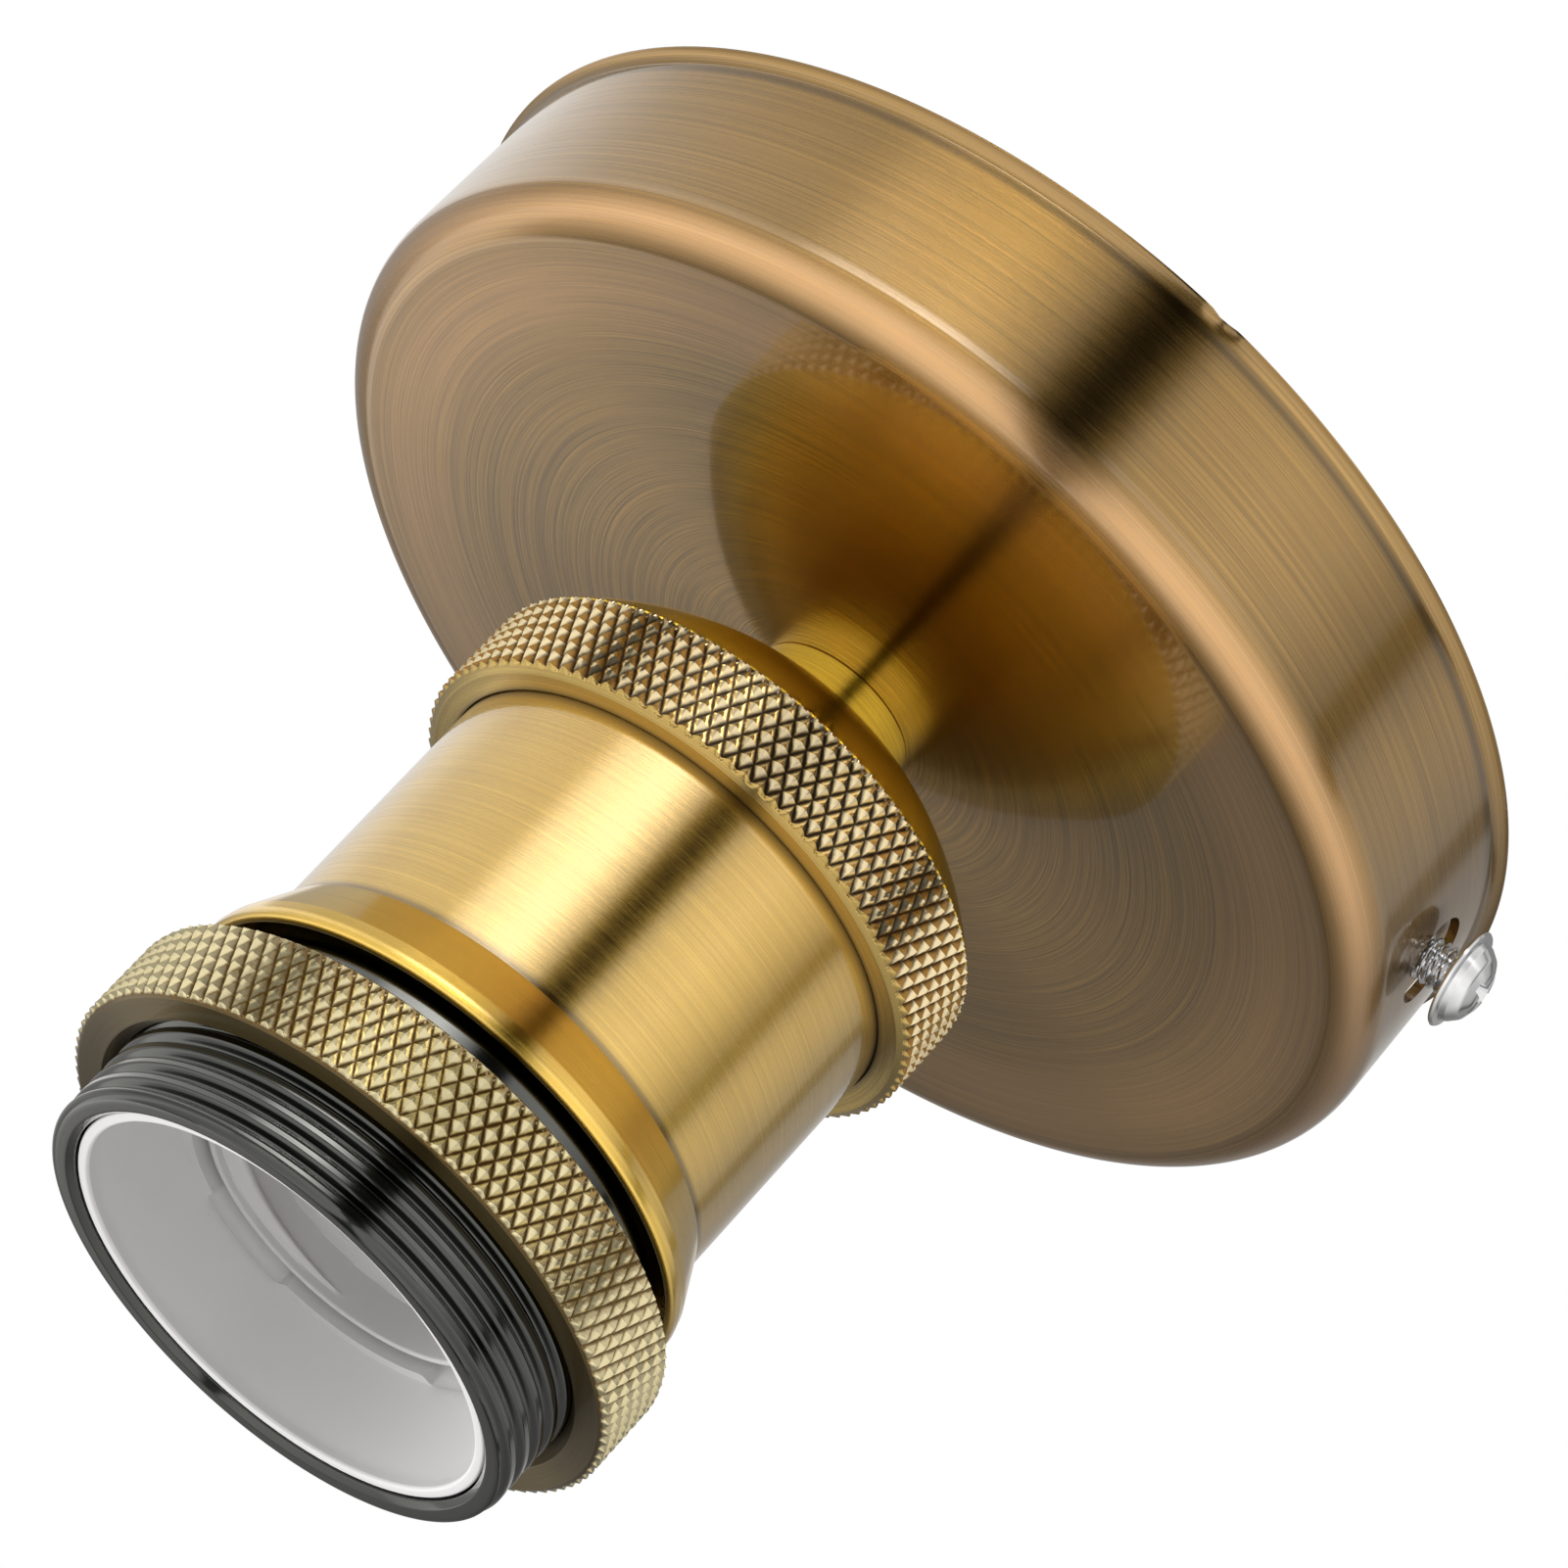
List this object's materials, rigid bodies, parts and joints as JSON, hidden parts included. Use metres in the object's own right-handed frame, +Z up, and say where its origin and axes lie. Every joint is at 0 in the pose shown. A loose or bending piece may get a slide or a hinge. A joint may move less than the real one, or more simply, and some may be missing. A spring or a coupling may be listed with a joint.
{
  "type": "ceiling lamp holder",
  "caption": "Round flat ceiling canopy with a short collar and a screw-shell lamp holder hanging from it, with a knurled domed cap, flared skirt, threaded barrel and knurled shade ring.",
  "frame": {"origin": "centre of the canopy's rim plane, which lies on the ceiling", "axes": "+Z up into the ceiling, the lamp hangs towards -Z; +X towards one of the two screws in the canopy's wall"},
  "size_m": [0.1064, 0.1, 0.0876],
  "materials": {
    "antique_brass": "brushed and lacquered antique brass plating",
    "black_oxide": "glossy black coating over turned metal",
    "white_insulator": "smooth moulded white insulator",
    "zinc_steel": "bright zinc plating",
    "plain_brass": "bare stamped brass"
  },
  "bodies": {
    "holder": {"canopy": "antique_brass", "ceiling_bracket": "zinc_steel", "earth_washer": "plain_brass", "earth_screw": "plain_brass", "nipple": "zinc_steel", "nipple_nut": "zinc_steel", "cap_nut": "zinc_steel", "lock_washer": "zinc_steel", "spacer_collar": "antique_brass", "socket_cap": "antique_brass", "outer_shell": "antique_brass", "threaded_barrel": "black_oxide", "liner": "white_insulator", "socket_core": "white_insulator", "contact_rivets": "plain_brass", "live_terminal": "plain_brass", "neutral_terminal": "plain_brass"},
    "shade_ring": {"shade_ring": "antique_brass"},
    "canopy_screw_right": {"canopy_screw_right": "zinc_steel"},
    "canopy_screw_left": {"canopy_screw_left": "zinc_steel"},
    "centre_contact": {"centre_contact": "plain_brass"},
    "side_contact": {"side_contact": "plain_brass"},
    "live_screw": {"live_screw": "zinc_steel"},
    "neutral_screw": {"neutral_screw": "zinc_steel"}
  },
  "joints": [
    {"name": "shade_ring_travel", "type": "slide", "parent": "holder", "child": "shade_ring", "axis": [0, 0, 1], "range_m": [-0.007, 0.003]},
    {"name": "canopy_screw_right_travel", "type": "slide", "parent": "holder", "child": "canopy_screw_right", "axis": [1, 0, 0], "range_m": [-0.0022, 0.004]},
    {"name": "canopy_screw_left_travel", "type": "slide", "parent": "holder", "child": "canopy_screw_left", "axis": [-1, 0, 0], "range_m": [0, 0.006]},
    {"name": "centre_contact_press", "type": "hinge", "parent": "holder", "child": "centre_contact", "pos_m": [-0.009, 0, -0.0521], "axis": [0, -1, 0], "range_deg": [0, 8], "stiffness_Nm_per_rad": 0.06},
    {"name": "side_contact_press", "type": "hinge", "parent": "holder", "child": "side_contact", "pos_m": [0.0096, 0, -0.0521], "axis": [0, -1, 0], "range_deg": [0, 4], "stiffness_Nm_per_rad": 0.06},
    {"name": "live_screw_travel", "type": "slide", "parent": "holder", "child": "live_screw", "axis": [0, 0, 1], "range_m": [-0.0016, 0.001]},
    {"name": "neutral_screw_travel", "type": "slide", "parent": "holder", "child": "neutral_screw", "axis": [0, 0, 1], "range_m": [-0.0016, 0.001]}
  ]
}
